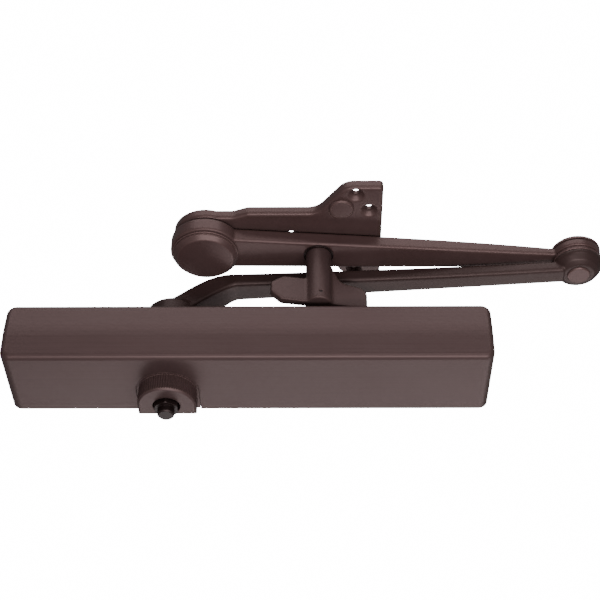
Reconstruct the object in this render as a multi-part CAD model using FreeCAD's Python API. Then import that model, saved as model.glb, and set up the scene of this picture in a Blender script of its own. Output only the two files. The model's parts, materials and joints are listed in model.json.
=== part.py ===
import FreeCAD, Part
import math
import os

V = FreeCAD.Vector

# Surface door closer with a parallel arm, a hold-open turn handle and a soffit shoe.
# Millimetres. +X runs along the door, +Y points into the door and +Z points up.
# The origin is on the door's face, under the middle of the cover's length and height.

# ---- cover
COVER_LENGTH = 340.0
COVER_HEIGHT = 47.0
COVER_DEPTH = 62.0
COVER_WALL = 1.9
COVER_CREASE_RISE = 2.0
COVER_CREASE_BLEND = 5.0
COVER_CORNER = 7.0
COVER_EDGE = 4.0
CAP_NOTCH_RADIUS = 22.2

# ---- pivots, seen from above
PINION = (-57.0, -20.8)
ELBOW = (240.5, -39.5)
SHOE_PIVOT = (-33.5, -51.8)
HANDLE = (49.6, -49.3)

# ---- cast housing
BARREL_RADIUS = 20.0
BORE_RADIUS = 17.0
BARREL_HALF_LENGTH = 140.0
LUG_HALF_LENGTH = 165.0
LUG_THICKNESS = 6.5
LUG_HALF_HEIGHT = 19.0
LUG_CORNER = 5.0
MOUNT_SPACING_X = 304.8
MOUNT_SPACING_Z = 19.05
MOUNT_HOLE_RADIUS = 3.4
BEARING_BORE_RADIUS = 16.0
BEARING_SEAT = 17.5
BEARING_TOP = 24.4
GEAR_PASSAGE_RADIUS = 13.0
BOSS_RADIUS = 18.1
BOSS_TOP = 24.6
VALVES = {"sweep_valve": -8.0, "latch_valve": 13.0, "backcheck_valve": 34.0}
VALVE_RADIUS = 4.0
VALVE_BLOCK_FRONT = -50.0
VALVE_SEAT = -40.0
PASSAGE_RADIUS = 1.5
FILLER_X = 85.0
FILLER_FRONT = -43.0

# ---- fits
RUNNING = 0.05

# ---- rack and pinion
MODULE = 1.75
TEETH = 12
PRESSURE_ANGLE = math.radians(25.0)
PITCH_RADIUS = MODULE * TEETH / 2
BACKLASH = 0.12
RACK_ADDENDUM = 1.6
RACK_DEDENDUM = 2.2
GEAR_HALF_WIDTH = 9.0
RACK_HALF_HEIGHT = 15.0
PINION_TURN = math.radians(165.0)
PISTON_TRAVEL = PITCH_RADIUS * PINION_TURN
JOURNAL_RADIUS = 8.5
SHOULDER_RADIUS = 10.5
HEX_ACROSS_FLATS = 15.9
HEX_START = 31.5
HEX_TOP = 46.0
HEX_BOTTOM = -39.2
CROWN_RADIUS = 9.4
TIP_RADIUS = 6.0
TIP_END = -44.4
ARM_SCREW_RADIUS = 4.0
ARM_SCREW_DEPTH = 12.0

# ---- bearing caps
CAP_RADIUS = 20.5
CAP_SKIRT = 21.2
CAP_CHAMFER = 1.5
UPPER_CAP_FACE = 31.2
LOWER_CAP_FACE = 36.2
LOWER_CAP_BACK = -10.3
COLLAR_RADIUS = 21.9
COLLAR_TOP = 23.3
COLLAR_BACK = -1.0
SHAFT_HOLE_RADIUS = 9.7
CAP_RIBS = 72

# ---- piston and main spring
PISTON_LEFT = -118.0
PISTON_RIGHT = -23.0
PISTON_GROOVES = (-112.0, -31.0)
GROOVE_WIDTH = 2.4
GROOVE_RADIUS = 15.2
WINDOW_MARGIN = 14.0
SPRING_WIRE = 1.8
SPRING_RADIUS = 12.6
SPRING_COILS = 13
SPRING_END = 117.4
PLUG_INNER = 120.5
PLUG_OUTER = 139.5

# ---- main arm
HUB_RADIUS = 20.0
HUB_BOTTOM = 32.0
HUB_TOP = 48.0
ARM_LEVEL = 70.5
ARM_EYE_BOTTOM = 68.0
ARM_EYE_TOP = 78.0
ARM_CORNER = 2.4
ELBOW_RADIUS = 18.2
ELBOW_PIN_RADIUS = 6.0

# ---- forearm
FOREARM_BOTTOM = 79.5
FOREARM_TOP = 91.5
FOREARM_CORNER = 1.9
PIVOT_EYE_RADIUS = 25.8
ELBOW_EYE_BOTTOM = 81.7
ELBOW_EYE_TOP = 88.0
PIVOT_PIN_RADIUS = 8.0
STEM_RADIUS = 9.4

# ---- soffit shoe
SHOE_BOTTOM = 93.2
SHOE_TOP = 101.2
SHOE_END_RADIUS = 24.0
SHOE_RIM = 2.6
SHOE_BAR = (-78.5, -35.5)
SHOE_NECK = (-74.4, -29.2)
SHOE_PLATE = (96.0, -105.2, -10.8)
SHOE_CENTRE_Y = -58.0
SHOE_HOLE_RADIUS = 2.8
SHOE_COUNTERSINK = (7.2, 96.6)
SHOE_OUTER_HOLES = (76.4, 79.4)
SHOE_INNER_HOLES = (86.2, 47.6)
SHOE_BAR_HOLES = (7.2, 29.4)
SHOE_BAR_HOLE_Y = -54.5
STOP_STUD = (66.1, -84.5)

# ---- turn handle
HANDLE_BOTTOM = 31.4
WING_TOP = 52.0
WING_LENGTH = 35.0
WING_THICKNESS = 6.0
WING_TURN = 10.1
HANDLE_STEM_TOP = 82.5


# ---------------------------------------------------------------- shape helpers

def block(low, high):
    """Box between two opposite corners."""
    size = [b - a for a, b in zip(low, high)]
    return Part.makeBox(*size, V(*low))


def post(radius, low, high, at=(0.0, 0.0)):
    """Upright cylinder between two levels."""
    return Part.makeCylinder(radius, high - low, V(at[0], at[1], low))


def rod_x(radius, start, end, y=PINION[1], z=0.0):
    """Cylinder along X."""
    return Part.makeCylinder(radius, end - start, V(start, y, z), V(1, 0, 0))


def rod_y(radius, start, end, x, z=0.0):
    """Cylinder along Y."""
    return Part.makeCylinder(radius, end - start, V(x, start, z), V(0, 1, 0))


def turned(outline, at=(0.0, 0.0)):
    """Solid of revolution about an upright axis, from (radius, level) corners."""
    points = [V(at[0] + radius, at[1], level) for radius, level in outline]
    face = Part.Face(Part.makePolygon(points + points[:1]))
    return face.revolve(V(at[0], at[1], 0), V(0, 0, 1), 360)


def turned_x(outline, y=PINION[1], z=0.0):
    """Solid of revolution about an axis along X, from (x, radius) corners."""
    points = [V(x, y + radius, z) for x, radius in outline]
    face = Part.Face(Part.makePolygon(points + points[:1]))
    return face.revolve(V(0, y, z), V(1, 0, 0), 360)


def hexagon(across_flats, low, high, at=(0.0, 0.0)):
    """Upright hexagonal prism with a corner towards the front."""
    radius = across_flats / math.sqrt(3)
    angles = [math.radians(30 + 60 * i) for i in range(6)]
    points = [V(at[0] + radius * math.cos(a), at[1] + radius * math.sin(a), low) for a in angles]
    return Part.Face(Part.makePolygon(points + points[:1])).extrude(V(0, 0, high - low))


def fused(*shapes):
    """One solid from several that touch."""
    return shapes[0].multiFuse(list(shapes[1:])).removeSplitter()


def cut(shape, *tools):
    """The shape with every tool taken out of it."""
    for tool in tools:
        shape = shape.cut(tool)
    return shape


def mirrored_z(shape):
    """The same shape on the other side of the middle level."""
    return shape.mirror(V(0, 0, 0), V(0, 0, 1))


def group(shapes):
    """Separate solids kept together in one file."""
    return Part.makeCompound(shapes)


def save(name, shape):
    """Write one sub-part."""
    shape.exportStep("parts/" + name + ".step")


def rounded_loop(half_width, half_height, corner):
    """Rounded rectangle in the YZ plane, centred on the X axis."""
    edges = []
    centres = [(half_width - corner, half_height - corner), (corner - half_width, half_height - corner),
               (corner - half_width, corner - half_height), (half_width - corner, corner - half_height)]
    arcs = []
    for quarter, (y, z) in enumerate(centres):
        angles = [math.radians(90 * quarter + step) for step in (0, 45, 90)]
        arcs.append([V(0, y + corner * math.cos(a), z + corner * math.sin(a)) for a in angles])
    for arc, following in zip(arcs, arcs[1:] + arcs[:1]):
        edges.append(Part.Arc(*arc).toShape())
        edges.append(Part.LineSegment(arc[-1], following[0]).toShape())
    return Part.Wire(edges)


def bar_section(x, level, width, thickness, corner, slope=0.0):
    """Cross-section of an arm, square to a path that rises at the given slope in degrees."""
    loop = rounded_loop(width / 2, thickness / 2, corner)
    loop.rotate(V(0, 0, 0), V(0, 1, 0), -slope)
    loop.translate(V(x, 0, level))
    return loop


def placed_between(shape, start, end):
    """Move a shape drawn along +X so that it runs from one pivot towards another."""
    heading = math.degrees(math.atan2(end[1] - start[1], end[0] - start[0]))
    shape.rotate(V(0, 0, 0), V(0, 0, 1), heading)
    shape.translate(V(start[0], start[1], 0))
    return shape


def distance(start, end):
    return math.hypot(end[0] - start[0], end[1] - start[1])


# ---------------------------------------------------------------- cover

def cover_block(inset):
    """Outer form of the cover, or the space inside it when inset by the wall."""
    half_height = COVER_HEIGHT / 2 - inset
    half_length = COVER_LENGTH / 2 - inset
    front = -COVER_DEPTH + inset
    slope = COVER_CREASE_RISE / half_height
    blend = COVER_CREASE_BLEND
    back = 1.0 if inset else 0.0
    corners = [V(0, back, -half_height), V(0, front + COVER_CREASE_RISE, -half_height)]
    low = V(0, front + slope * blend, -blend)
    high = V(0, front + slope * blend, blend)
    corners.append(low)
    crease = Part.Arc(low, V(0, front + slope * blend / 2, 0), high).toShape()
    upper = [high, V(0, front + COVER_CREASE_RISE, half_height), V(0, back, half_height), corners[0]]
    edges = [Part.LineSegment(a, b).toShape() for a, b in zip(corners, corners[1:])]
    edges.append(crease)
    edges += [Part.LineSegment(a, b).toShape() for a, b in zip(upper, upper[1:])]
    side = Part.Face(Part.Wire(edges))
    side.translate(V(-half_length, 0, 0))
    form = side.extrude(V(2 * half_length, 0, 0))
    loop = rounded_loop(half_length, half_height, COVER_CORNER - inset)
    loop.rotate(V(0, 0, 0), V(0, 0, 1), -90)
    mask = Part.Face(loop).extrude(V(0, -2 * COVER_DEPTH, 0))
    mask.translate(V(0, COVER_DEPTH / 2, 0))
    form = form.common(mask)
    rim = [e for e in form.Edges if is_front_rim(e, half_length, half_height)]
    return form.makeFillet(COVER_EDGE - inset, rim)


def is_front_rim(edge, half_length, half_height):
    """True for the edges around the cover's front face."""
    box = edge.BoundBox
    at_front = box.YMax < -COVER_DEPTH / 2
    middle = edge.valueAt((edge.FirstParameter + edge.LastParameter) / 2)
    near_end = abs(middle.x) > half_length - COVER_CORNER
    near_side = abs(middle.z) > half_height - COVER_CORNER
    across = box.XLength < 2 * half_length - 3 * COVER_CORNER
    return at_front and (near_side or (near_end and across))


def cap_notch():
    """Slot open towards the door, for a bearing cap."""
    x, y = PINION
    low, high = 15.0, 30.0
    opening = block((x - CAP_NOTCH_RADIUS, y, low), (x + CAP_NOTCH_RADIUS, 5.0, high))
    return fused(post(CAP_NOTCH_RADIUS, low, high, PINION), opening)


def cover():
    """Pressed cover: open at the door, notched above and below for the bearing caps."""
    shell = cover_block(0.0).cut(cover_block(COVER_WALL))
    notch = cap_notch()
    return cut(shell, notch, mirrored_z(notch))


def cover_clips():
    """Spring strips at the ends of the housing that grip the cover's end walls."""
    strip_thickness = 0.8
    half_height = 8.0
    outer = LUG_HALF_LENGTH + 0.9
    inner = outer - strip_thickness
    wall = block((inner, -40.0, -half_height), (outer, -0.8, half_height))
    foot = block((158.0, -LUG_THICKNESS - 1.4, -half_height), (inner, -LUG_THICKNESS, half_height))
    tongue = rod_y(1.1, -31.0, -29.0, inner - 0.4).common(block((0, -31, -2), (inner, -29, 2)))
    right = fused(wall, foot, tongue)
    return group([right, right.mirror(V(0, 0, 0), V(1, 0, 0))])


# ---------------------------------------------------------------- housing

def housing():
    """Cast body: spring and piston bore, pinion bosses, valve block and mounting lugs."""
    barrel = rod_x(BARREL_RADIUS, -BARREL_HALF_LENGTH, BARREL_HALF_LENGTH)
    base = block((-LUG_HALF_LENGTH, -LUG_THICKNESS, -LUG_HALF_HEIGHT),
                 (LUG_HALF_LENGTH, 0, LUG_HALF_HEIGHT))
    corners = [edge for edge in base.Edges if edge.BoundBox.YLength > LUG_THICKNESS - 0.1]
    base = base.makeFillet(LUG_CORNER, corners)
    cheeks = block((-BARREL_HALF_LENGTH, -12.0, -LUG_HALF_HEIGHT),
                   (BARREL_HALF_LENGTH, -LUG_THICKNESS, LUG_HALF_HEIGHT))
    bosses = post(BOSS_RADIUS, -BOSS_TOP, BOSS_TOP, PINION)
    valves = block((-20.0, VALVE_BLOCK_FRONT, -12.0), (46.0, -34.0, 12.0))
    filler = rod_y(8.0, FILLER_FRONT, -34.0, FILLER_X)
    body = fused(barrel, base, cheeks, bosses, valves, filler)
    tools = [rod_x(BORE_RADIUS, -BARREL_HALF_LENGTH - 1, BARREL_HALF_LENGTH + 1),
             post(GEAR_PASSAGE_RADIUS, -BEARING_SEAT, BEARING_SEAT, PINION),
             post(BEARING_BORE_RADIUS, BEARING_SEAT, BOSS_TOP + 1, PINION),
             post(BEARING_BORE_RADIUS, -BOSS_TOP - 1, -BEARING_SEAT, PINION),
             rod_y(VALVE_RADIUS, FILLER_FRONT - 1, -35.0, FILLER_X)]
    relief = BORE_RADIUS + 0.5
    tools.append(rod_x(relief, BARREL_HALF_LENGTH, LUG_HALF_LENGTH + 1))
    tools.append(rod_x(relief, -LUG_HALF_LENGTH - 1, -BARREL_HALF_LENGTH))
    for x in VALVES.values():
        tools.append(rod_y(VALVE_RADIUS, VALVE_BLOCK_FRONT - 1, VALVE_SEAT, x))
        tools.append(rod_y(PASSAGE_RADIUS, VALVE_SEAT - 1, -35.0, x))
    for x in (-MOUNT_SPACING_X / 2, MOUNT_SPACING_X / 2):
        for z in (-MOUNT_SPACING_Z / 2, MOUNT_SPACING_Z / 2):
            tools.append(rod_y(MOUNT_HOLE_RADIUS, -15.0, 1.0, x, z))
    return cut(body, *tools)


def blind_end_plug():
    """Screwed plug at the hydraulic end, with a groove for its seal and a tool socket."""
    outline = [(-PLUG_OUTER, 0), (-PLUG_OUTER, 16.95), (-129.0, 16.95), (-129.0, 15.0), (-126.5, 15.0),
               (-126.5, 16.95), (-PLUG_INNER, 16.95), (-PLUG_INNER, 0)]
    socket = hexagon(12.0, 0.0, 8.0)
    socket.rotate(V(0, 0, 0), V(0, 1, 0), 90)
    socket.translate(V(-PLUG_OUTER - 1, PINION[1], 0))
    return turned_x(outline).cut(socket)


def spring_end_plug():
    """Screwed plug at the spring end, drilled for the power screw."""
    outline = [(PLUG_INNER, 5.0), (PLUG_INNER, 16.95), (126.5, 16.95), (126.5, 15.0), (129.0, 15.0),
               (129.0, 16.95), (PLUG_OUTER, 16.95), (PLUG_OUTER, 5.0)]
    return turned_x(outline)


def end_plug_seals():
    """Seal rings of the two end plugs."""
    right = turned_x([(126.6, 15.0), (126.6, 16.98), (128.9, 16.98), (128.9, 15.0)])
    return group([right, right.mirror(V(0, 0, 0), V(1, 0, 0))])


def spring_seat():
    """Dished plate that the main spring pushes against."""
    return turned_x([(117.6, 0), (117.6, 16.4), (119.0, 16.4), (120.2, 8.0), (120.2, 0)])


def power_screw():
    """Hexagon-headed screw that sets the spring's power."""
    shank = rod_x(5.0 - RUNNING, 120.3, 141.0)
    head = hexagon(12.0, 0.0, 6.0)
    head.rotate(V(0, 0, 0), V(0, 1, 0), 90)
    head.translate(V(141.0, PINION[1], 0))
    return fused(shank, head)


def cap_ribs(face):
    """Ribbed disc that gives a bearing cap its grip."""
    points = []
    for step in range(2 * CAP_RIBS):
        radius = CAP_RADIUS if step % 2 else CAP_RADIUS - 0.55
        angle = math.pi * step / CAP_RIBS
        points.append(V(radius * math.cos(angle), radius * math.sin(angle), CAP_SKIRT))
    return Part.Face(Part.makePolygon(points + points[:1])).extrude(V(0, 0, face - CAP_SKIRT))


def cap_space(face):
    """Room inside a bearing cap for the boss, the shaft seal and the shaft."""
    return turned([(0, CAP_SKIRT - 1), (BOSS_RADIUS + 0.1, CAP_SKIRT - 1), (BOSS_RADIUS + 0.1, 24.9),
                   (12.0, 24.9), (12.0, 28.0), (SHAFT_HOLE_RADIUS, 28.0), (SHAFT_HOLE_RADIUS, face + 1),
                   (0, face + 1)])


def upper_bearing_cap():
    """Round ribbed cap over the upper bearing, below the arm."""
    face = UPPER_CAP_FACE
    outline = [(0, CAP_SKIRT), (CAP_RADIUS, CAP_SKIRT), (CAP_RADIUS, face - CAP_CHAMFER),
               (CAP_RADIUS - CAP_CHAMFER, face), (0, face)]
    return at_pinion(cut(turned(outline).common(cap_ribs(face)), cap_space(face)))


def lower_bearing_cap():
    """Deeper cap under the lower bearing: ribbed in front, flat towards the door, with a collar that
    fills the cover's notch."""
    face = LOWER_CAP_FACE
    back = LOWER_CAP_BACK - PINION[1]
    left, right = V(-CAP_RADIUS, 0, CAP_SKIRT), V(CAP_RADIUS, 0, CAP_SKIRT)
    edges = [Part.Arc(left, V(0, -CAP_RADIUS, CAP_SKIRT), right).toShape(),
             Part.LineSegment(right, right + V(0, back, 0)).toShape(),
             Part.LineSegment(right + V(0, back, 0), left + V(0, back, 0)).toShape(),
             Part.LineSegment(left + V(0, back, 0), left).toShape()]
    form = Part.Face(Part.Wire(edges)).extrude(V(0, 0, face - CAP_SKIRT))
    rim = [edge for edge in form.Edges if edge.BoundBox.ZMin > face - 0.1]
    form = form.makeChamfer(CAP_CHAMFER, rim)
    sides = block((-CAP_RADIUS, 0, CAP_SKIRT), (CAP_RADIUS, back, face))
    form = form.common(fused(cap_ribs(face), sides))
    collar_back = block((-COLLAR_RADIUS, 0, CAP_SKIRT), (COLLAR_RADIUS, COLLAR_BACK - PINION[1], COLLAR_TOP))
    form = fused(form, post(COLLAR_RADIUS, CAP_SKIRT, COLLAR_TOP), collar_back)
    return mirrored_z(at_pinion(cut(form, cap_space(face))))


def at_pinion(shape):
    """Move a shape drawn about the origin onto the pinion's axis."""
    shape.translate(V(PINION[0], PINION[1], 0))
    return shape


def shaft_seals():
    """Lip seals around the shaft, one in each bearing cap."""
    upper = turned([(JOURNAL_RADIUS + RUNNING, 25.0), (11.9, 25.0), (11.9, 27.8),
                    (JOURNAL_RADIUS + 1.2, 27.8)], PINION)
    return group([upper, mirrored_z(upper)])


def bearing_shells():
    """Outer rings of the two needle bearings, pressed into the housing."""
    upper = turned([(13.5, BEARING_SEAT + 0.1), (15.98, BEARING_SEAT + 0.1), (15.98, BEARING_TOP),
                    (13.5, BEARING_TOP)], PINION)
    return group([upper, mirrored_z(upper)])


def bearing_sleeves():
    """Hard inner sleeves on the pinion's journals."""
    upper = turned([(JOURNAL_RADIUS, BEARING_SEAT + 0.1), (11.0, BEARING_SEAT + 0.1),
                    (11.0, BEARING_TOP), (JOURNAL_RADIUS, BEARING_TOP)], PINION)
    return group([upper, mirrored_z(upper)])


def bearing_needles():
    """Rollers between the sleeves and the shells."""
    count, pitch_radius, radius = 18, 12.25, 1.2
    needles = []
    for i in range(count):
        angle = 2 * math.pi * i / count
        at = (PINION[0] + pitch_radius * math.cos(angle), PINION[1] + pitch_radius * math.sin(angle))
        upper = post(radius, BEARING_SEAT + 0.5, BEARING_TOP - 0.5, at)
        needles += [upper, mirrored_z(upper)]
    return group(needles)


def valve(x):
    """Adjusting valve: a seal groove, a needle and a screwdriver slot."""
    radius = VALVE_RADIUS - RUNNING
    profile = [(0, -49.5), (radius, -49.5), (radius, -45.6), (3.0, -45.6), (3.0, -44.0), (radius, -44.0),
               (radius, -40.4), (1.2, -40.4), (0.6, -38.0), (0, -38.0)]
    points = [V(x + r, y, 0) for r, y in profile]
    body = Part.Face(Part.makePolygon(points + points[:1])).revolve(V(x, 0, 0), V(0, 1, 0), 360)
    return body.cut(block((x - 5, -50.0, -0.5), (x + 5, -48.1, 0.5)))


def valve_seals():
    """Seal rings around the three valves."""
    rings = []
    for x in VALVES.values():
        ring = rod_y(VALVE_RADIUS - 0.02, -45.5, -44.1, x)
        rings.append(ring.cut(rod_y(3.0 + RUNNING, -46.0, -43.5, x)))
    return group(rings)


def filler_plug():
    """Socket screw that closes the oil filling hole."""
    plug = rod_y(VALVE_RADIUS - 0.02, FILLER_FRONT + 0.4, -37.8, FILLER_X)
    socket = hexagon(4.0, 0.0, 3.5)
    socket.rotate(V(0, 0, 0), V(1, 0, 0), -90)
    socket.translate(V(FILLER_X, FILLER_FRONT, 0))
    return plug.cut(socket)


# ---------------------------------------------------------------- pinion, piston and spring

def gear_outline():
    """Closed loop of the pinion's teeth, with involute flanks, a tooth towards +Y."""
    base = PITCH_RADIUS * math.cos(PRESSURE_ANGLE)
    tip = PITCH_RADIUS + MODULE
    root = PITCH_RADIUS - 1.25 * MODULE
    roll_at_pitch = math.tan(PRESSURE_ANGLE) - PRESSURE_ANGLE
    half_tooth = (math.pi * MODULE / 2 - BACKLASH) / 2 / PITCH_RADIUS
    steps = 6
    flank = []
    for i in range(steps + 1):
        radius = base + (tip - base) * i / steps
        angle = math.acos(base / radius)
        flank.append((radius, half_tooth + roll_at_pitch - (math.tan(angle) - angle)))
    flank.insert(0, (root, flank[0][1]))
    points = []
    for tooth in range(TEETH):
        centre = math.pi / 2 + 2 * math.pi * tooth / TEETH
        for radius, offset in flank:
            points.append((radius, centre - offset))
        for radius, offset in reversed(flank):
            points.append((radius, centre + offset))
    return [V(r * math.cos(a), r * math.sin(a), 0) for r, a in points]


def pinion():
    """Shaft cut with the gear; hexagon ends take the arm above and a tool below."""
    points = gear_outline()
    teeth = Part.Face(Part.makePolygon(points + points[:1])).extrude(V(0, 0, 2 * GEAR_HALF_WIDTH))
    teeth.translate(V(0, 0, -GEAR_HALF_WIDTH))
    shoulder_end = BEARING_SEAT - 0.1
    half = [(JOURNAL_RADIUS, RACK_HALF_HEIGHT), (SHOULDER_RADIUS, RACK_HALF_HEIGHT),
            (SHOULDER_RADIUS, shoulder_end), (JOURNAL_RADIUS, shoulder_end), (JOURNAL_RADIUS, HEX_START)]
    mirrored = [(radius, -z) for radius, z in reversed(half)]
    shaft = turned([(0, -HEX_START)] + mirrored + half + [(0, HEX_START)])
    top = hexagon(HEX_ACROSS_FLATS, HEX_START, HEX_TOP)
    bottom = hexagon(HEX_ACROSS_FLATS, HEX_BOTTOM, -HEX_START)
    crown = turned([(0, HEX_BOTTOM), (CROWN_RADIUS - 1, HEX_BOTTOM), (CROWN_RADIUS, HEX_BOTTOM + 1),
                    (CROWN_RADIUS, -HEX_START), (0, -HEX_START)])
    tip = turned([(0, HEX_BOTTOM), (TIP_RADIUS, HEX_BOTTOM), (TIP_RADIUS, TIP_END + 1),
                  (TIP_RADIUS - 1, TIP_END), (0, TIP_END)])
    body = fused(shaft, teeth, top, bottom.common(crown), tip)
    return at_pinion(body.cut(post(ARM_SCREW_RADIUS + 0.02, ARM_SCREW_DEPTH, HEX_TOP + 1)))


def rack_teeth():
    """Gaps between the teeth of the rack on the door side of the piston's window."""
    pitch = math.pi * MODULE
    pitch_line = PINION[1] + PITCH_RADIUS
    slope = math.tan(PRESSURE_ANGLE)
    half_gap = pitch / 4 + 0.04
    gaps = []
    for i in range(-7, 3):
        x = PINION[0] + i * pitch
        near = half_gap + RACK_ADDENDUM * slope
        far = half_gap - RACK_DEDENDUM * slope
        front, back = pitch_line - RACK_ADDENDUM, pitch_line + RACK_DEDENDUM
        bottom = -RACK_HALF_HEIGHT
        points = [V(x - near, front, bottom), V(x + near, front, bottom), V(x + far, back, bottom),
                  V(x - far, back, bottom)]
        face = Part.Face(Part.makePolygon(points + points[:1]))
        gaps.append(face.extrude(V(0, 0, 2 * RACK_HALF_HEIGHT)))
    return gaps


def piston():
    """Hollow piston: a window for the pinion with the rack along one side."""
    radius = BORE_RADIUS - RUNNING
    body = rod_x(radius, PISTON_LEFT, PISTON_RIGHT)
    window_left = PINION[0] - PISTON_TRAVEL - WINDOW_MARGIN
    window_right = PINION[0] + WINDOW_MARGIN
    rack_tip = PINION[1] + PITCH_RADIUS - RACK_ADDENDUM
    window = block((window_left, PINION[1] - 13.2, -20.0), (window_right, rack_tip, 20.0))
    grooves = []
    for x in PISTON_GROOVES:
        groove = rod_x(radius + 1, x, x + GROOVE_WIDTH)
        grooves.append(groove.cut(rod_x(GROOVE_RADIUS, x - 1, x + GROOVE_WIDTH + 1)))
    check_hole = rod_x(2.6, -43.5, -30.0)
    check_seat = rod_x(1.4, -30.5, PISTON_RIGHT + 1)
    return cut(body, window, check_hole, check_seat, *grooves, *rack_teeth())


def piston_rings():
    """Split-free sealing rings in the piston's two grooves."""
    rings = []
    for x in PISTON_GROOVES:
        ring = rod_x(BORE_RADIUS - 0.03, x + 0.1, x + GROOVE_WIDTH - 0.1)
        rings.append(ring.cut(rod_x(GROOVE_RADIUS + 0.05, x, x + GROOVE_WIDTH)))
    return group(rings)


def check_ball():
    """Ball that lets oil pass one way through the piston."""
    return Part.makeSphere(2.4, V(-33.4, PINION[1], 0))


def check_ball_clip():
    """Spring clip that keeps the ball in the piston."""
    return rod_x(2.55, -38.4, -37.6).cut(rod_x(1.5, -39.0, -37.0))


def coil(radius, wire, start, end, coils):
    """Round-wire compression spring along +Z, from one end's wire centre to the other's."""
    length = end - start
    helix = Part.makeHelix(length / coils, length, radius)
    ring = Part.Wire(Part.makeCircle(wire, V(radius, 0, 0), V(0, 1, 0)))
    spring = Part.Wire(helix).makePipeShell([ring], True, True)
    spring.translate(V(0, 0, start))
    return spring


def main_spring():
    """Closing spring between the piston and the spring seat."""
    start = PISTON_RIGHT + SPRING_WIRE + 0.6
    spring = coil(SPRING_RADIUS, SPRING_WIRE, start, SPRING_END - SPRING_WIRE, SPRING_COILS)
    spring.rotate(V(0, 0, 0), V(0, 1, 0), 90)
    spring.translate(V(0, PINION[1], 0))
    return spring


# ---------------------------------------------------------------- main arm and elbow

def main_arm():
    """Forged arm: hub on the pinion, a rising neck, a long oval bar and the elbow eye."""
    length = distance(PINION, ELBOW)
    hub = turned([(0, HUB_BOTTOM), (HUB_RADIUS - 1.5, HUB_BOTTOM), (HUB_RADIUS, HUB_BOTTOM + 1.5),
                  (HUB_RADIUS, HUB_TOP - 2.5), (HUB_RADIUS - 2.5, HUB_TOP), (0, HUB_TOP)])
    neck_path = [(0.0, 40.0, 34.0, 15.0, 30.0), (12.0, 50.3, 28.0, 16.0, 40.0),
                 (24.0, 60.4, 24.0, 16.0, 39.0), (35.0, 67.6, 20.6, 14.5, 27.0),
                 (46.0, ARM_LEVEL, 19.5, 11.0, 0.0)]
    neck = Part.makeLoft([bar_section(x, z, w, t, ARM_CORNER, a) for x, z, w, t, a in neck_path], True)
    bar_path = [(46.0, ARM_LEVEL, 19.5, 11.0), (165.0, ARM_LEVEL, 15.8, 10.5),
                (length - 11, ARM_LEVEL + 1.2, 14.8, 9.4)]
    bar = Part.makeLoft([bar_section(x, z, w, t, ARM_CORNER) for x, z, w, t in bar_path], True)
    eye = turned([(0, ARM_EYE_BOTTOM), (11.0, ARM_EYE_BOTTOM), (14.6, 70.2), (17.4, 73.8), (ELBOW_RADIUS, 75.8),
                  (ELBOW_RADIUS, ARM_EYE_TOP - 0.6), (ELBOW_RADIUS - 0.6, ARM_EYE_TOP), (0, ARM_EYE_TOP)],
                 (length, 0))
    arm = fused(hub, neck, bar, eye)
    arm = cut(arm, post(11.2, HUB_TOP, 80.0), post(ELBOW_PIN_RADIUS, 60.0, 85.0, (length, 0)))
    arm = placed_between(arm, PINION, ELBOW)
    return arm.cut(hexagon(HEX_ACROSS_FLATS + 0.1, 20.0, 60.0, PINION))


def arm_washer():
    """Washer under the arm screw."""
    return turned([(4.2, HUB_TOP), (10.4, HUB_TOP), (10.4, HUB_TOP + 1.8), (4.2, HUB_TOP + 1.8)], PINION)


def arm_screw():
    """Cap screw that holds the arm on the pinion."""
    head_bottom = HUB_TOP + 1.8
    shank = post(ARM_SCREW_RADIUS, ARM_SCREW_DEPTH + 4, head_bottom, PINION)
    head = turned([(0, head_bottom), (8.0, head_bottom), (8.0, head_bottom + 5.4),
                   (7.2, head_bottom + 6.2), (0, head_bottom + 6.2)], PINION)
    return fused(shank, head).cut(hexagon(7.0, head_bottom + 2.5, head_bottom + 7, PINION))


def elbow_pin():
    """Riveted pin through both elbow eyes."""
    return turned([(0, 66.8), (7.6, 66.8), (8.4, 67.5), (8.4, ARM_EYE_BOTTOM), (5.98, ARM_EYE_BOTTOM),
                   (5.98, 91.0), (8.4, 91.0), (8.4, 91.8), (6.8, 92.6), (0, 92.6)], ELBOW)


def elbow_washers():
    """Two thin washers between the elbow eyes."""
    lower = turned([(6.1, 78.3), (17.8, 78.3), (17.8, 79.7), (6.1, 79.7)], ELBOW)
    upper = turned([(6.1, 80.1), (17.0, 80.1), (17.0, 81.4), (6.1, 81.4)], ELBOW)
    return group([lower, upper])


def elbow_top_washer():
    """Thick washer under the rivet's upper head."""
    return turned([(6.1, 88.4), (18.4, 88.4), (18.4, 90.0), (17.4, 91.0), (6.1, 91.0)], ELBOW)


# ---------------------------------------------------------------- forearm and shoe pivot

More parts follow.
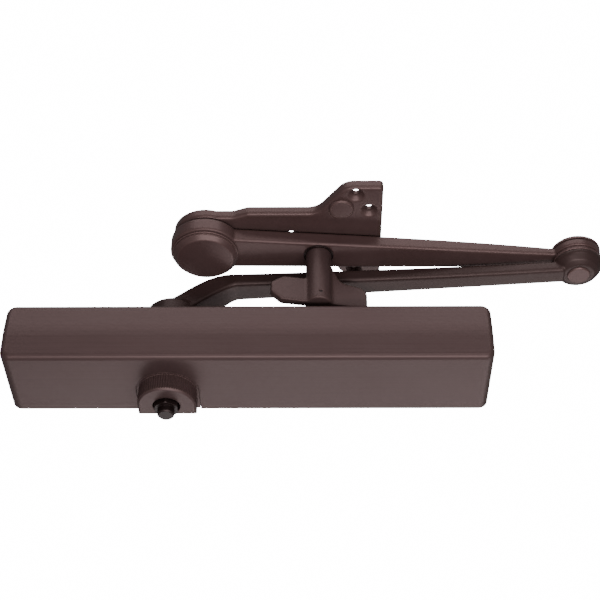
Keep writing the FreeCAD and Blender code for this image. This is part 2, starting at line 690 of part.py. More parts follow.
def forearm():
    """Tapered forging with an eye for the shoe's pivot, a bore for the handle and an elbow eye."""
    length = distance(SHOE_PIVOT, ELBOW)
    stations = [(12.0, 30.5, FOREARM_BOTTOM, FOREARM_TOP), (130.0, 23.0, 79.8, 91.0),
                (228.0, 16.0, 80.9, 89.3), (length - 10, 12.5, ELBOW_EYE_BOTTOM, ELBOW_EYE_TOP)]
    sections = []
    for x, width, low, high in stations:
        sections.append(bar_section(x, (low + high) / 2, width, high - low, FOREARM_CORNER))
    bar = Part.makeLoft(sections, True)
    eye = turned([(0, FOREARM_BOTTOM), (PIVOT_EYE_RADIUS - 1.0, FOREARM_BOTTOM),
                  (PIVOT_EYE_RADIUS, FOREARM_BOTTOM + 1.0), (PIVOT_EYE_RADIUS, FOREARM_TOP - 1.6),
                  (PIVOT_EYE_RADIUS - 1.6, FOREARM_TOP), (0, FOREARM_TOP)])
    end = turned([(0, ELBOW_EYE_BOTTOM), (ELBOW_RADIUS - 0.8, ELBOW_EYE_BOTTOM),
                  (ELBOW_RADIUS, ELBOW_EYE_BOTTOM + 0.8), (ELBOW_RADIUS, ELBOW_EYE_TOP - 0.8),
                  (ELBOW_RADIUS - 0.8, ELBOW_EYE_TOP), (0, ELBOW_EYE_TOP)], (length, 0))
    arm = placed_between(fused(bar, eye, end), SHOE_PIVOT, ELBOW)
    return cut(arm, post(10.0, 75.0, 95.0, SHOE_PIVOT), post(8.0, 75.0, 95.0, ELBOW),
               post(STEM_RADIUS + RUNNING, 75.0, 88.2, HANDLE), post(3.5 + RUNNING, 85.0, 95.0, HANDLE))


def pivot_bush():
    """Bush pressed into the forearm for the shoe's pin."""
    return turned([(PIVOT_PIN_RADIUS + RUNNING, FOREARM_BOTTOM), (9.98, FOREARM_BOTTOM),
                   (9.98, FOREARM_TOP), (PIVOT_PIN_RADIUS + RUNNING, FOREARM_TOP)], SHOE_PIVOT)


def elbow_bush():
    """Bush pressed into the forearm for the elbow pin."""
    bore = 5.98 + RUNNING
    return turned([(bore, ELBOW_EYE_BOTTOM), (7.98, ELBOW_EYE_BOTTOM), (7.98, ELBOW_EYE_TOP),
                   (bore, ELBOW_EYE_TOP)], ELBOW)


def pivot_pin():
    """Pin fixed in the shoe, with a groove for its retaining ring."""
    radius = PIVOT_PIN_RADIUS
    return turned([(0, 76.9), (radius - 0.6, 76.9), (radius, 77.5), (radius, 77.6), (radius - 1, 77.6),
                   (radius - 1, 78.8), (radius, 78.8), (radius, SHOE_TOP - 0.4), (0, SHOE_TOP - 0.4)],
                  SHOE_PIVOT)


def pivot_ring():
    """Retaining ring in the pin's groove."""
    ring = turned([(7.02, 77.65), (11.0, 77.65), (11.0, 78.75), (7.02, 78.75)], SHOE_PIVOT)
    x, y = SHOE_PIVOT
    return ring.cut(block((x - 2, y, 77.0), (x + 2, y + 12, 79.5)))


def pivot_cap():
    """Round cap snapped over the lower end of the shoe's pin."""
    return turned([(0, 73.4), (20.0, 73.4), (20.7, 73.8), (23.3, 76.4), (23.3, 77.0), (22.6, 77.3),
                   (22.6, 77.8), (24.0, 78.2), (24.0, 79.0), (23.8, 79.2), (20.0, 79.2), (20.0, 75.6),
                   (0, 75.6)], SHOE_PIVOT)


def pivot_washer():
    """Bearing washer between the forearm and the shoe."""
    return turned([(PIVOT_PIN_RADIUS + 0.1, 91.8), (21.6, 91.8), (21.6, 93.0),
                   (PIVOT_PIN_RADIUS + 0.1, 93.0)], SHOE_PIVOT)


# ---------------------------------------------------------------- shoe

def shoe_outline():
    """Plan of the shoe's bar and plate, as corners with the radius of each."""
    pivot = SHOE_PIVOT[0]
    front, back = SHOE_BAR
    neck_front, neck_back = SHOE_NECK
    right, plate_front, plate_back = SHOE_PLATE
    bar_left, bar_right, neck_right, plate_left = -2.0, 48.2, -13.0, 68.5
    return [((pivot, neck_front), 0), ((neck_right, neck_front), 10), ((bar_left, front), 6),
            ((bar_right, front), 13), ((plate_left, plate_front), 13), ((right, plate_front), 3),
            ((right, plate_back), 3), ((plate_left, plate_back), 12), ((bar_right + 6, back), 12),
            ((bar_left, back), 6), ((neck_right, neck_back - 1.8), 10), ((pivot, neck_back), 0)]


def rounded_polygon(corners, level):
    """Closed wire through corners, each rounded by its own radius."""
    ends = []
    edges = []
    count = len(corners)
    for i, (corner, radius) in enumerate(corners):
        here = V(corner[0], corner[1], level)
        before = V(*corners[i - 1][0], level) - here
        after = V(*corners[(i + 1) % count][0], level) - here
        if radius == 0:
            ends.append((here, here))
            continue
        before.normalize()
        after.normalize()
        half = before.getAngle(after) / 2
        reach = radius / math.tan(half)
        bisector = before + after
        bisector.normalize()
        middle = here + bisector * (radius / math.sin(half) - radius)
        start, end = here + before * reach, here + after * reach
        edges.append(Part.Arc(start, middle, end).toShape())
        ends.append((start, end))
    for i in range(count):
        edges.append(Part.LineSegment(ends[i - 1][1], ends[i][0]).toShape())
    return Part.Wire(Part.__sortEdges__(edges))


def shoe_holes():
    """Countersunk screw holes, drilled from below."""
    tools = []
    spots = [(x, SHOE_CENTRE_Y + side * spacing / 2) for x, spacing in (SHOE_OUTER_HOLES, SHOE_INNER_HOLES)
             for side in (-1, 1)]
    spots += [(x, SHOE_BAR_HOLE_Y) for x in SHOE_BAR_HOLES]
    mouth, depth = SHOE_COUNTERSINK
    for spot in spots:
        tools.append(turned([(0, SHOE_BOTTOM - 1), (mouth, SHOE_BOTTOM - 1), (SHOE_HOLE_RADIUS, depth),
                             (SHOE_HOLE_RADIUS, SHOE_TOP + 1), (0, SHOE_TOP + 1)], spot))
    return tools


def soffit_shoe():
    """Forged bracket that is screwed to the underside of the frame."""
    face = Part.Face(rounded_polygon(shoe_outline(), SHOE_BOTTOM))
    plate = face.extrude(V(0, 0, SHOE_TOP - SHOE_BOTTOM))
    end = post(SHOE_END_RADIUS, SHOE_BOTTOM, SHOE_TOP, SHOE_PIVOT)
    shoe = fused(plate, end)
    rim = [e for e in shoe.Edges if abs(e.BoundBox.ZMax - SHOE_BOTTOM) < 0.01]
    shoe = shoe.makeFillet(SHOE_RIM, rim)
    return cut(shoe, post(PIVOT_PIN_RADIUS, 90.0, 105.0, SHOE_PIVOT), post(5.0, 90.0, 105.0, STOP_STUD),
               *shoe_holes())


def stop_stud():
    """Headed stud riveted into the shoe's plate."""
    return turned([(0, 91.1), (8.0, 91.1), (8.9, 92.0), (8.9, SHOE_BOTTOM), (4.98, SHOE_BOTTOM),
                   (4.98, SHOE_TOP - 0.2), (0, SHOE_TOP - 0.2)], STOP_STUD)


# ---------------------------------------------------------------- hold-open handle

def handle_wings():
    """Both finger wings of the turn handle, drawn along X in the upright plane."""
    low, high, reach = HANDLE_BOTTOM, WING_TOP, WING_LENGTH
    corners = [((-reach, low + 6.5), 3), ((-reach + 7.5, low), 3), ((reach, low), 1.5),
               ((reach, high - 6.5), 3), ((reach - 4.0, high - 2.5), 3), ((15.5, high + 0.5), 8),
               ((9.0, high + 15.0), 3), ((0.0, high + 15.0), 0), ((0.0, high + 1.0), 0),
               ((-reach + 9.0, high + 1.0), 6), ((-reach, high - 5.5), 4)]
    wire = rounded_polygon(corners, 0.0)
    plate = Part.Face(wire).extrude(V(0, 0, WING_THICKNESS))
    plate.translate(V(0, 0, -WING_THICKNESS / 2))
    plate.rotate(V(0, 0, 0), V(1, 0, 0), 90)
    return plate


def handle():
    """Turn handle: two finger wings on a round hub, cast in one piece with its stem."""
    hub = turned([(0, HANDLE_BOTTOM), (STEM_RADIUS - 0.8, HANDLE_BOTTOM), (STEM_RADIUS, HANDLE_BOTTOM + 0.8),
                  (STEM_RADIUS, HANDLE_STEM_TOP), (0, HANDLE_STEM_TOP)])
    body = fused(hub, handle_wings())
    body.rotate(V(0, 0, 0), V(0, 0, 1), WING_TURN)
    body = body.cut(rod_y(1.3, -20.0, 20.0, 1.6, HANDLE_BOTTOM + 6.0))
    groove = post(STEM_RADIUS + 1, 78.3, 79.1).cut(post(STEM_RADIUS - 0.9, 78.0, 79.5))
    body = body.cut(groove)
    body.translate(V(HANDLE[0], HANDLE[1], 0))
    return body


def handle_pin():
    """Cross pin through the handle's hub."""
    return rod_y(1.3 - 0.01, HANDLE[1] - 8.6, HANDLE[1] + 8.6, HANDLE[0] + 1.6, HANDLE_BOTTOM + 6.0)


def handle_ring():
    """Retaining ring in the stem's groove, against the forearm."""
    ring = turned([(STEM_RADIUS - 0.85, 78.35), (10.9, 78.35), (10.9, 79.05), (STEM_RADIUS - 0.85, 79.05)],
                  HANDLE)
    x, y = HANDLE
    return ring.cut(block((x - 2.5, y, 78.0), (x + 2.5, y + 12, 79.5)))


def plunger():
    """Hold-open plunger that the turned stem pushes up through the forearm."""
    return turned([(0, 82.7), (7.5, 82.7), (7.5, 84.0), (3.5, 84.0), (3.5, 90.7), (3.0, 91.2), (0, 91.2)],
                  HANDLE)


def plunger_spring():
    """Light spring that returns the plunger."""
    spring = coil(5.6, 0.45, 84.6, 87.6, 2)
    spring.translate(V(HANDLE[0], HANDLE[1], 0))
    return spring


# ---------------------------------------------------------------- output

def build():
    """Write every sub-part to its own file."""
    os.makedirs("parts", exist_ok=True)
    save("housing", housing())
    save("cover", cover())
    save("cover_clips", cover_clips())
    save("blind_end_plug", blind_end_plug())
    save("spring_end_plug", spring_end_plug())
    save("end_plug_seals", end_plug_seals())
    save("spring_seat", spring_seat())
    save("power_screw", power_screw())
    save("upper_bearing_cap", upper_bearing_cap())
    save("lower_bearing_cap", lower_bearing_cap())
    save("shaft_seals", shaft_seals())
    save("bearing_shells", bearing_shells())
    save("bearing_needles", bearing_needles())
    save("bearing_sleeves", bearing_sleeves())
    for name, x in VALVES.items():
        save(name, valve(x))
    save("valve_seals", valve_seals())
    save("filler_plug", filler_plug())
    save("pinion", pinion())
    save("piston", piston())
    save("piston_rings", piston_rings())
    save("check_ball", check_ball())
    save("check_ball_clip", check_ball_clip())
    save("main_spring", main_spring())
    save("main_arm", main_arm())
    save("arm_washer", arm_washer())
    save("arm_screw", arm_screw())
    save("elbow_pin", elbow_pin())
    save("elbow_washers", elbow_washers())
    save("elbow_top_washer", elbow_top_washer())
    save("elbow_bush", elbow_bush())
    save("forearm", forearm())
    save("pivot_bush", pivot_bush())
    save("pivot_pin", pivot_pin())
    save("pivot_ring", pivot_ring())
    save("pivot_cap", pivot_cap())
    save("pivot_washer", pivot_washer())
    save("soffit_shoe", soffit_shoe())
    save("stop_stud", stop_stud())
    save("hold_open_handle", handle())
    save("handle_pin", handle_pin())
    save("handle_ring", handle_ring())
    save("hold_open_plunger", plunger())
    save("plunger_spring", plunger_spring())


build()
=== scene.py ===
# %% [markdown]
# # A surface door closer, finished in Blender
#
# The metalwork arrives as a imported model: a boxed cover over a cast hydraulic body, a forged arm in two
# pieces, a shoe for the frame and a small turn handle. Its sizes and places are settled, so this lesson is
# about looks: a camera, soft light, paint and metal finishes, and a few castings and forgings that are
# better made as smooth meshes than as machined solids.

# %% Load the model
import json
import math

import bmesh
import bpy
from mathutils import Matrix, Vector

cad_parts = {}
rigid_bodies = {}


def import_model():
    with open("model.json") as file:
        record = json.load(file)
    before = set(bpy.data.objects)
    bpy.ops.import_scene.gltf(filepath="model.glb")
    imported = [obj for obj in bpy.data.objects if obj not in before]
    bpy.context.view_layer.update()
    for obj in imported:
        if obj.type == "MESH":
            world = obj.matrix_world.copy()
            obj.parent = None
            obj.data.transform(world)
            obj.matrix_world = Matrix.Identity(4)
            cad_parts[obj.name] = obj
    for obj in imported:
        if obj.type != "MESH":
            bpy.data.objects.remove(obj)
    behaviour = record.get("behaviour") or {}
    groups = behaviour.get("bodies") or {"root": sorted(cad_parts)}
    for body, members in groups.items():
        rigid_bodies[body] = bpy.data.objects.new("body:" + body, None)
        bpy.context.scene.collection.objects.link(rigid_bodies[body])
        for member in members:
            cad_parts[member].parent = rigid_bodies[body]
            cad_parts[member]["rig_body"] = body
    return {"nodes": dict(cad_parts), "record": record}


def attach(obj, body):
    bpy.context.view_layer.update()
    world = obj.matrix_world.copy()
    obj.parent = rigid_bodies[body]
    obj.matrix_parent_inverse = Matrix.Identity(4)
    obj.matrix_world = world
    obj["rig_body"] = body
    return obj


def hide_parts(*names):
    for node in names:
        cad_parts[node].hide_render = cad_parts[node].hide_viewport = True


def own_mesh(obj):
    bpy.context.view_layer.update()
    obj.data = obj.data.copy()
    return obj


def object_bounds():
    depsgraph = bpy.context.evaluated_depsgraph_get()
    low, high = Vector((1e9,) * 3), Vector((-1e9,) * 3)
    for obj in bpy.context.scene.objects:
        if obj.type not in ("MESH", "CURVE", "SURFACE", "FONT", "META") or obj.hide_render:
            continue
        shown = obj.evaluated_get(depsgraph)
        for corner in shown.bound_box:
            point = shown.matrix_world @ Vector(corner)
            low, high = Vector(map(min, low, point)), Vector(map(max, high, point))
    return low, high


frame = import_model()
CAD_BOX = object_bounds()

nodes = frame["nodes"]
print("nodes:", len(nodes))

# %% [markdown]
# ## Camera
#
# A closer is looked at from the floor: it sits at the top of a door. The camera stands well below the cover
# and looks up by 40 degrees, with a long lens so that the arms stay nearly parallel. Its three axes are
# worked out from the pitch and a small turn and tilt, and written as the columns of a rotation matrix,
# which is easier to follow than three Euler angles.

# %% Set up the camera
EYE = Vector((0.0464, -0.7865, -0.58235))
PITCH = math.radians(40.0)
TURN = math.radians(-0.80)
TILT = math.radians(0.37)
LENS = 80.72

ahead = Vector((math.sin(TURN) * math.cos(PITCH), math.cos(TURN) * math.cos(PITCH), math.sin(PITCH)))
level = Vector((math.cos(TURN), -math.sin(TURN), 0.0))
above = level.cross(ahead)
right = math.cos(TILT) * level + math.sin(TILT) * above
up = math.cos(TILT) * above - math.sin(TILT) * level

camera_data = bpy.data.cameras.new("camera")
camera_data.lens = LENS
camera_data.clip_start = 0.02
camera = bpy.data.objects.new("camera", camera_data)
camera.matrix_world = Matrix.Translation(EYE) @ Matrix((right, up, -ahead)).transposed().to_4x4()
bpy.context.scene.collection.objects.link(camera)
bpy.context.scene.camera = camera
print("camera looks along", [round(value, 3) for value in ahead])

# %% [markdown]
# ## Node sums in Python
#
# A finish is a small sum: grain plus blotches, times a strength. Wiring such sums by hand hides the idea,
# so a socket is wrapped in a class whose operators add Math nodes. `add` makes every other kind of node:
# it takes the node's type, its settings and then the values or wires of its sockets.

# %% A wire that takes part in sums
class Wire:
    """One output socket; each operator adds one Math node behind it."""

    def __init__(self, finish, socket):
        self.finish = finish
        self.socket = socket

    def math(self, operation, first, second=0.0):
        return self.finish.add("ShaderNodeMath", {"operation": operation}, {0: first, 1: second})

    def __add__(self, other):
        return self.math("ADD", self, other)

    def __sub__(self, other):
        return self.math("SUBTRACT", self, other)

    def __rsub__(self, other):
        return self.math("SUBTRACT", other, self)

    def __mul__(self, other):
        return self.math("MULTIPLY", self, other)

    def clamped(self):
        return self.finish.add("ShaderNodeClamp", {}, {"Value": self})

    __radd__ = __add__


# %% A finish that is built node by node
class Finish:
    """A material and its nodes, ready for a Principled shader."""

    def __init__(self, name):
        self.material = bpy.data.materials.new(name)
        self.material.use_nodes = True
        self.tree = self.material.node_tree
        self.tree.nodes.clear()
        coordinates = self.tree.nodes.new("ShaderNodeTexCoord")
        self.place = Wire(self, coordinates.outputs["Object"])

    def add(self, kind, settings, sockets, output=0):
        node = self.tree.nodes.new(kind)
        for name, value in settings.items():
            setattr(node, name, value)
        for name, value in sockets.items():
            if isinstance(value, Wire):
                self.tree.links.new(value.socket, node.inputs[name])
            else:
                node.inputs[name].default_value = value
        return Wire(self, node.outputs[output])

    def noise(self, stretch, scale, detail=2.0):
        """Noise on the object's own coordinates, stretched by three factors."""
        place = self.add("ShaderNodeMapping", {}, {"Vector": self.place, "Scale": stretch})
        return self.add("ShaderNodeTexNoise", {}, {"Vector": place, "Scale": scale, "Detail": detail})

    def mix(self, factor, low, high):
        """A colour between two, by a factor."""
        colours = {6: low if isinstance(low, Wire) else (*low, 1.0),
                   7: high if isinstance(high, Wire) else (*high, 1.0), 0: factor}
        return self.add("ShaderNodeMix", {"data_type": "RGBA"}, colours, output=2)

    def soft_edges(self, radius):
        """The surface's direction with its hard edges rounded by a small radius."""
        return self.add("ShaderNodeBevel", {"samples": 6}, {"Radius": radius})

    def edge_mask(self, rounded, strength):
        """Near 1 along the hard edges and 0 on the flats."""
        geometry = self.add("ShaderNodeNewGeometry", {}, {}, output="Normal")
        alike = self.add("ShaderNodeVectorMath", {"operation": "DOT_PRODUCT"},
                         {0: rounded, 1: geometry}, output="Value")
        return ((1.0 - alike) * strength).clamped()

    def bump(self, height, distance, strength, normal):
        sockets = {"Height": height, "Distance": distance, "Strength": strength, "Normal": normal}
        return self.add("ShaderNodeBump", {}, sockets)

    def shade(self, **sockets):
        """Close the finish with a Principled shader and return the material."""
        named = {}
        for name, value in sockets.items():
            named[name.replace("_", " ").title().replace("Ior", "IOR")] = value
        shader = self.add("ShaderNodeBsdfPrincipled", {}, named)
        end = self.tree.nodes.new("ShaderNodeOutputMaterial")
        self.tree.links.new(shader.socket, end.inputs["Surface"])
        return self.material


# %% [markdown]
# ## Bronze paint on the cover
#
# The cover is brushed before it is sprayed, so fine lines run along it under a dark, slightly metallic
# coat. Noise that is squeezed hard across the lines and hardly at all along them gives that grain; it moves
# the colour a little, the roughness more, and the surface by a few hundredths of a millimetre. Edges are
# lighter, partly as rubbed wear and partly as a painted highlight, and the Bevel node both rounds them and
# finds them. The coat's own mirror-like part is turned down, because bright studio light would otherwise
# wash the bronze out to grey.

# %% Paint with a brushed grain
PAINT_SHEEN = 0.2
LINES_PER_METRE = 900.0


def brushed_paint(name, dark, light, along, roughness):
    finish = Finish(name)
    across = LINES_PER_METRE
    grain = finish.noise((along, across, across), 1.0, 3.0)
    fine = finish.noise((along * 4, across * 2.6, across * 2.6), 1.0, 1.0)
    blotch = finish.noise((1.0, 1.0, 1.0), 14.0, 3.0)
    streaks = (grain * 0.6 + fine * 0.4 - 0.5) * 1.6 + 0.5
    rounded = finish.soft_edges(0.0005)
    edge = finish.edge_mask(rounded, 5.0)
    tone = (streaks * 0.55 + blotch * 0.45).clamped()
    paint = finish.mix(tone, dark, light)
    # Lighter edges: partly rubbed wear, partly a painted highlight along them.
    rubbed_and_highlit = finish.mix(edge * 0.55, paint, [min(1.0, value * 2.2) for value in light])
    gloss = roughness + (streaks - 0.5) * 0.10 + (blotch - 0.5) * 0.16
    surface = finish.bump(streaks, 0.00004, 0.35, rounded)
    return finish.shade(base_color=rubbed_and_highlit, roughness=gloss.clamped(), normal=surface, metallic=0.45,
                        specular_ior_level=PAINT_SHEEN)


COVER_DARK = (0.052, 0.030, 0.0295)
COVER_LIGHT = (0.084, 0.051, 0.050)
cover_paint = brushed_paint("cover_paint", COVER_DARK, COVER_LIGHT, 6.0, 0.42)


# %% [markdown]
# ## Satin paint on the forgings
#
# The arms and the shoe are forged, shot-blasted and sprayed. There is no grain to brush, but the blasted
# skin shows through as a soft, uneven orange peel. Three sizes of noise do that: one of about a millimetre
# for the skin, one of several for shallow dents, and one of a few centimetres for the way the coat flows.
# The main arm and the turn handle get a darker tone each, which is painted shade. On the real closer all of
# it is probably one coat that catches the light differently; the two darker copies of the paint stand in for
# that.

# %% Paint over a blasted forging
def forged_paint(name, dark, light, roughness, metallic=0.35):
    finish = Finish(name)
    peel = finish.noise((1.0, 1.0, 1.0), 900.0, 2.0)
    dent = finish.noise((1.0, 1.0, 1.0), 130.0, 3.0)
    flow = finish.noise((1.0, 1.0, 1.0), 22.0, 2.0)
    rounded = finish.soft_edges(0.0008)
    edge = finish.edge_mask(rounded, 5.0)
    paint = finish.mix((flow * 0.7 + dent * 0.3).clamped(), dark, light)
    # Lighter edges: partly rubbed wear, partly a painted highlight along them.
    rubbed_and_highlit = finish.mix(edge * 0.6, paint, [min(1.0, value * 3.0) for value in light])
    gloss = roughness + (dent - 0.5) * 0.12 + (flow - 0.5) * 0.14
    surface = finish.bump(peel * 0.5 + dent, 0.00007, 0.4, rounded)
    return finish.shade(base_color=rubbed_and_highlit, roughness=gloss.clamped(), normal=surface, metallic=metallic,
                        specular_ior_level=PAINT_SHEEN)


arm_paint = forged_paint("arm_paint", (0.062, 0.032, 0.031), (0.096, 0.058, 0.056), 0.36)
# Darker copies of the arm paint: painted shade on the main arm and the turn handle.
main_arm_shaded_paint = forged_paint("main_arm_shaded_paint", (0.034, 0.018, 0.017), (0.053, 0.031, 0.030), 0.40)
handle_shaded_paint = forged_paint("handle_shaded_paint", (0.052, 0.029, 0.028), (0.078, 0.047, 0.046), 0.44)


# %% [markdown]
# ## Metals, casting and rubber
#
# Behind the paint there are five plain finishes: blackened steel on the shaft and clips, turned steel on
# what runs in oil, sintered bronze, brass and the sprayed casting of the body. One function makes them all,
# because they differ only in colour, in the size of their grain and in how rough they are.

# %% Plain finishes
def plain_finish(name, dark, light, roughness, metallic, grain, relief, edge_light):
    finish = Finish(name)
    fine = finish.noise((1.0, 1.0, 1.0), grain, 3.0)
    cloud = finish.noise((1.0, 1.0, 1.0), 40.0, 2.0)
    rounded = finish.soft_edges(0.0003)
    edge = finish.edge_mask(rounded, 4.0)
    colour = finish.mix((fine * 0.5 + cloud * 0.5).clamped(), dark, light)
    worn = finish.mix(edge * 0.5, colour, [min(1.0, value * edge_light) for value in light])
    gloss = roughness + (fine - 0.5) * 0.16 + (cloud - 0.5) * 0.12
    surface = finish.bump(fine, relief, 0.5, rounded)
    return finish.shade(base_color=worn, roughness=gloss.clamped(), normal=surface, metallic=metallic)


# Each row: dark tone, light tone, roughness, metallic, grains per metre, relief in metres, edge lightening.
plain = {
    "cast_body": ((0.05, 0.040, 0.037), (0.10, 0.083, 0.078), 0.68, 0.3, 700.0, 0.0002, 1.8),
    "dark_steel": ((0.010, 0.005, 0.005), (0.030, 0.017, 0.017), 0.40, 0.7, 900.0, 0.00005, 3.0),
    "bright_steel": ((0.46, 0.45, 0.43), (0.62, 0.61, 0.59), 0.28, 1.0, 1500.0, 0.00002, 1.8),
    "bush_bronze": ((0.30, 0.19, 0.09), (0.50, 0.34, 0.18), 0.45, 0.9, 2200.0, 0.00006, 1.8),
    "valve_brass": ((0.52, 0.38, 0.17), (0.70, 0.54, 0.28), 0.30, 1.0, 1200.0, 0.00002, 1.8),
    "seal_rubber": ((0.012, 0.012, 0.012), (0.030, 0.030, 0.031), 0.62, 0.0, 1400.0, 0.00003, 1.2),
}
finishes = {"cover_paint": cover_paint, "arm_paint": arm_paint}
for name, row in plain.items():
    finishes[name] = plain_finish(name, *row)
print("finishes:", ", ".join(finishes))

# %% Give every node its finish
slots = {part["node"]: part["material_slot"] for part in frame["record"]["subparts"]}
for name, node in nodes.items():
    node.data.materials.clear()
    node.data.materials.append(finishes[slots[name]])

# %% [markdown]
# ## Forgings and castings with soft corners
#
# A forging has no sharp corners: metal is squeezed into a die, so outer corners are round and inner ones are
# filled. The machined solid has the right size but hard corners. Its skin is rebuilt here from voxels and
# then relaxed. The handle is a casting with deeper inner corners, so its skin is also pushed out, rebuilt,
# which closes those corners, and drawn back by the same distance. Bevels on each edge would need an order
# that a real forging hasn't.

# %% A soft skin over a solid
def soft_skin(name, node, voxel, fill, passes):
    """Rebuild a node's skin with rounded corners, and let the new piece stand for the node."""
    mesh = nodes[node].data.copy()
    shape = bmesh.new()
    shape.from_mesh(mesh)
    bmesh.ops.remove_doubles(shape, verts=shape.verts, dist=1e-6)
    shape.to_mesh(mesh)
    shape.free()
    solid = bpy.data.objects.new(name + "_solid", mesh)
    bpy.context.scene.collection.objects.link(solid)
    steps = [("REMESH", {"mode": "VOXEL", "voxel_size": voxel})]
    if fill:
        steps += [("DISPLACE", {"strength": fill, "mid_level": 0.0}),
                  ("REMESH", {"mode": "VOXEL", "voxel_size": voxel}),
                  ("DISPLACE", {"strength": -fill, "mid_level": 0.0}),
                  ("REMESH", {"mode": "VOXEL", "voxel_size": voxel})]
    steps.append(("SMOOTH", {"factor": 0.5, "iterations": passes}))
    for number, (kind, settings) in enumerate(steps):
        modifier = solid.modifiers.new(f"step_{number}", kind)
        for key, value in settings.items():
            setattr(modifier, key, value)
    graph = bpy.context.evaluated_depsgraph_get()
    skin = bpy.data.meshes.new_from_object(solid.evaluated_get(graph), depsgraph=graph)
    bpy.data.objects.remove(solid)
    skin.shade_smooth()
    piece = bpy.data.objects.new(name, skin)
    bpy.context.scene.collection.objects.link(piece)
    skin.materials.clear()
    skin.materials.append(finishes[slots[node]])
    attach(piece, nodes[node]["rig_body"])
    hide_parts(node)
    print(name, "has", len(skin.polygons), "faces")
    return piece


# %% Rebuild the four forged and cast pieces
arm = soft_skin("forged_main_arm", "main_arm", 0.0006, 0.0, 5)
soft_skin("forged_forearm", "forearm", 0.0006, 0.0, 5)
soft_skin("forged_shoe", "soffit_shoe", 0.0006, 0.0, 6)
turn_handle = soft_skin("cast_turn_handle", "hold_open_handle", 0.0005, 0.0022, 6)
# The main arm and the handle take the darker paints, which are painted shade.
arm.data.materials[0] = main_arm_shaded_paint
turn_handle.data.materials[0] = handle_shaded_paint

# %% [markdown]
# ## The cross pin's hole
#
# Closing the inner corners also closed the small hole for the pin through the handle's hub. A casting is
# drilled after it is cast, so the hole is taken out of the finished skin, on the pin's own axis.

# %% Drill the hub
def drill(piece, pin, length):
    """Take a round hole out of a piece, along Y, where a pin sits."""
    corners = [Vector(corner) for corner in nodes[pin].bound_box]
    middle = sum(corners, Vector()) / 8
    radius = nodes[pin].dimensions.x / 2
    shape = bmesh.new()
    bmesh.ops.create_cone(shape, cap_ends=True, segments=32, radius1=radius, radius2=radius, depth=length)
    lying = Matrix.Rotation(math.radians(90.0), 4, "X")
    bmesh.ops.transform(shape, matrix=Matrix.Translation(middle) @ lying, verts=shape.verts)
    mesh = bpy.data.meshes.new("drill")
    shape.to_mesh(mesh)
    shape.free()
    bit = bpy.data.objects.new("drill", mesh)
    bpy.context.scene.collection.objects.link(bit)
    hole = piece.modifiers.new("hole", "BOOLEAN")
    hole.operation = "DIFFERENCE"
    hole.object = bit
    graph = bpy.context.evaluated_depsgraph_get()
    drilled = bpy.data.meshes.new_from_object(piece.evaluated_get(graph), depsgraph=graph)
    piece.modifiers.clear()
    piece.data = drilled
    bpy.data.objects.remove(bit)
    print(piece.name, "drilled to", round(radius * 2000, 2), "mm")


drill(turn_handle, "handle_pin", 0.030)

# %% [markdown]
# ## Springs with their own meshes
#
# Two coil springs sit between a fixed seat and a piece that slides: the closing spring behind the piston and
# the small one round the plunger. A body carries its pieces whole, so a spring stays long while the slider
# runs into it; here each spring only gets a mesh of its own.

# %% Give the springs their own meshes
def shorten(spring):
    """Give a spring its own copy of its mesh."""
    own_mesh(nodes[spring])


shorten("main_spring")
shorten("plunger_spring")

# %% [markdown]
# ## Stage and light
#
# A pale floor lies below the camera, and the sky behind is plain white. A satin coat shows what it mirrors,
# so each panel is placed for one face of the cover: two above and in front for the two halves of its front,
# one low in front for the arms, one low behind for all that faces down, and a narrow one near the floor
# that draws the bright line along the lower front edge.

# %% Floor
FLOOR_LEVEL = -0.80
FLOOR_HALF = 6.0
FLOOR_TONE = (0.85, 0.85, 0.85, 1.0)

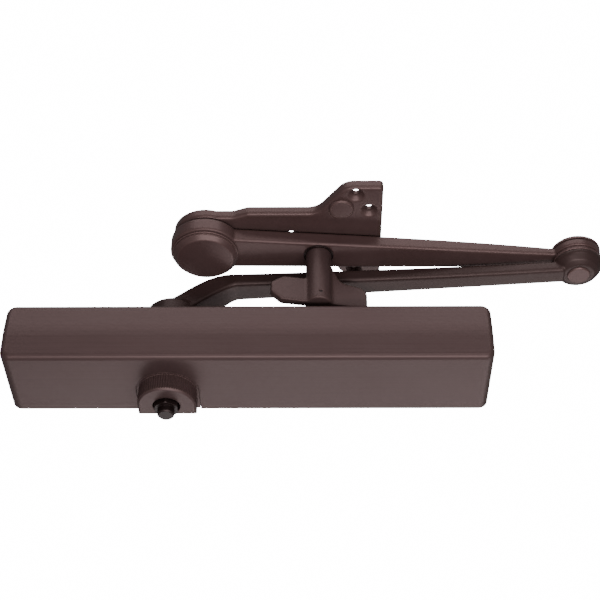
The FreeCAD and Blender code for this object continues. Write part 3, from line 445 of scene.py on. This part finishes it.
mesh = bpy.data.meshes.new("floor")
shape = bmesh.new()
bmesh.ops.create_grid(shape, x_segments=1, y_segments=1, size=FLOOR_HALF)
bmesh.ops.translate(shape, verts=shape.verts, vec=(0.0, 0.0, FLOOR_LEVEL))
shape.to_mesh(mesh)
shape.free()
floor = bpy.data.objects.new("floor", mesh)
bpy.context.scene.collection.objects.link(floor)
pale = Finish("pale_floor")
floor.data.materials.append(pale.shade(base_color=FLOOR_TONE, roughness=0.9))

# %% White surround
WHITE = (1.0, 1.0, 1.0, 1.0)
GLOW_STRENGTH = 0.22
BACKDROP_STRENGTH = 16.0

world = bpy.data.worlds.new("surround")
bpy.context.scene.world = world
world.use_nodes = True
tree = world.node_tree
tree.nodes.clear()


def surround(strength):
    """A plain white background of one strength."""
    light = tree.nodes.new("ShaderNodeBackground")
    light.inputs["Color"].default_value = WHITE
    light.inputs["Strength"].default_value = strength
    return light


path = tree.nodes.new("ShaderNodeLightPath")
choose = tree.nodes.new("ShaderNodeMixShader")
end = tree.nodes.new("ShaderNodeOutputWorld")
tree.links.new(path.outputs["Is Camera Ray"], choose.inputs[0])
tree.links.new(surround(GLOW_STRENGTH).outputs[0], choose.inputs[1])
tree.links.new(surround(BACKDROP_STRENGTH).outputs[0], choose.inputs[2])
tree.links.new(choose.outputs[0], end.inputs["Surface"])
print("surround nodes:", len(tree.nodes))


# %% Soft panels
def panel(name, place, aim, width, height, power):
    """A rectangular area light that faces a point."""
    data = bpy.data.lights.new(name, "AREA")
    data.shape = "RECTANGLE"
    data.size = width
    data.size_y = height
    data.energy = power
    lamp = bpy.data.objects.new(name, data)
    lamp.visible_camera = False
    direction = Vector(aim) - Vector(place)
    facing = direction.to_track_quat("-Z", "Y").to_matrix().to_4x4()
    lamp.matrix_world = Matrix.Translation(place) @ facing
    bpy.context.scene.collection.objects.link(lamp)


CENTRE = (CAD_BOX[0] + CAD_BOX[1]) / 2
panel("upper_panel", (0.0, -0.9, 1.4), CENTRE, 1.8, 0.5, 9.0)
panel("brow_panel", (0.1, -1.2, 0.95), CENTRE, 1.8, 0.30, 5.5)
panel("front_panel", (0.25, -1.3, -0.20), CENTRE, 1.2, 0.12, 5.0)
panel("low_back_panel", (0.25, 1.0, -0.70), CENTRE, 1.8, 0.5, 9.8)
panel("edge_panel", (0.15, -0.62, -0.73), CENTRE, 1.0, 0.08, 8.0)
print("lights:", len(bpy.data.lights))
